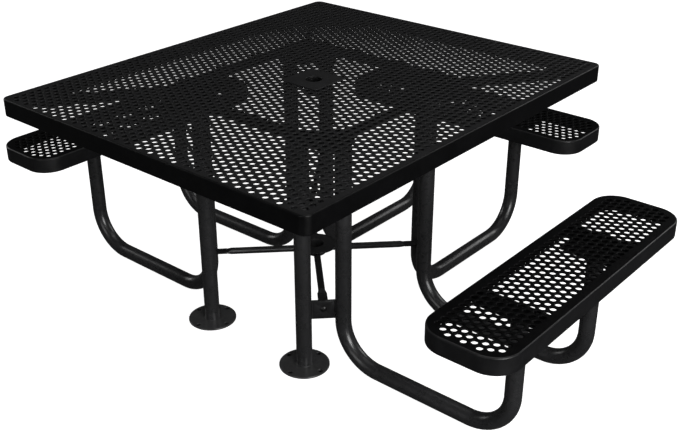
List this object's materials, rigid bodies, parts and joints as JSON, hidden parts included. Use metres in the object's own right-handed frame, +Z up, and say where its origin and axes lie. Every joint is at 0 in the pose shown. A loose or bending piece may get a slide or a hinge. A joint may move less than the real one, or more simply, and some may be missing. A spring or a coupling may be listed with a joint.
{
  "type": "picnic table",
  "caption": "Accessible picnic table: perforated coated-steel top with umbrella hole, benches on three sides on bent tubes, open front with bolt-down feet.",
  "frame": {"origin": "on the ground under the middle of the whole table's box; the table top's own centre and umbrella hole are 0.153 m in front of it, at y = -0.153", "axes": "+X to the right bench, +Y away from the open wheelchair side towards the back bench, +Z up"},
  "size_m": [1.983, 1.6772, 0.781],
  "materials": {
    "coated_sheet": "black plastic coating over perforated steel, satin, slightly uneven",
    "coated_edge": "black plastic coating, satin, rounded edges",
    "coated_tube": "black powder coat, satin with fine texture",
    "coated_foot": "black powder coat, satin, a little dusty",
    "coated_steel": "black powder coat, satin",
    "hardware": "black oxide"
  },
  "bodies": {
    "root": {"bench_tube_back_left": "coated_tube", "bench_tube_back_right": "coated_tube", "bench_tube_left_back": "coated_tube", "bench_tube_left_front": "coated_tube", "bench_tube_right_back": "coated_tube", "bench_tube_right_front": "coated_tube", "brace_arm_back_left": "coated_steel", "brace_arm_back_right": "coated_steel", "brace_arm_front_left": "coated_steel", "brace_arm_front_right": "coated_steel", "brace_bolts": "hardware", "brace_nuts": "hardware", "cross_plate_back_left": "coated_steel", "cross_plate_back_right": "coated_steel", "cross_plate_front_left": "coated_steel", "cross_plate_front_right": "coated_steel", "foot_disc_left": "coated_foot", "foot_disc_right": "coated_foot", "front_post_left": "coated_tube", "front_post_right": "coated_tube", "hub_flange": "coated_steel", "post_head_plate_back_left": "coated_steel", "post_head_plate_back_right": "coated_steel", "post_head_plate_front_left": "coated_steel", "post_head_plate_front_right": "coated_steel", "seat_bolts": "hardware", "seat_brackets_back": "coated_steel", "seat_brackets_left": "coated_steel", "seat_brackets_right": "coated_steel", "seat_nuts": "hardware", "seat_panel_back": "coated_sheet", "seat_panel_left": "coated_sheet", "seat_panel_right": "coated_sheet", "seat_post_pads_back": "coated_steel", "seat_post_pads_left": "coated_steel", "seat_post_pads_right": "coated_steel", "seat_rim_back": "coated_edge", "seat_rim_left": "coated_edge", "seat_rim_right": "coated_edge", "top_bar_back": "coated_steel", "top_bar_front": "coated_steel", "top_bar_left": "coated_steel", "top_bar_right": "coated_steel", "top_bolts": "hardware", "top_brace_back_left": "coated_steel", "top_brace_back_right": "coated_steel", "top_brace_front_left": "coated_steel", "top_brace_front_right": "coated_steel", "top_corner_plate_back_left": "coated_steel", "top_corner_plate_back_right": "coated_steel", "top_corner_plate_front_left": "coated_steel", "top_corner_plate_front_right": "coated_steel", "top_nuts": "hardware", "top_panel": "coated_sheet", "top_rim": "coated_edge", "umbrella_hub": "coated_steel", "umbrella_plate": "coated_steel", "umbrella_sleeve": "coated_steel"}
  },
  "joints": []
}
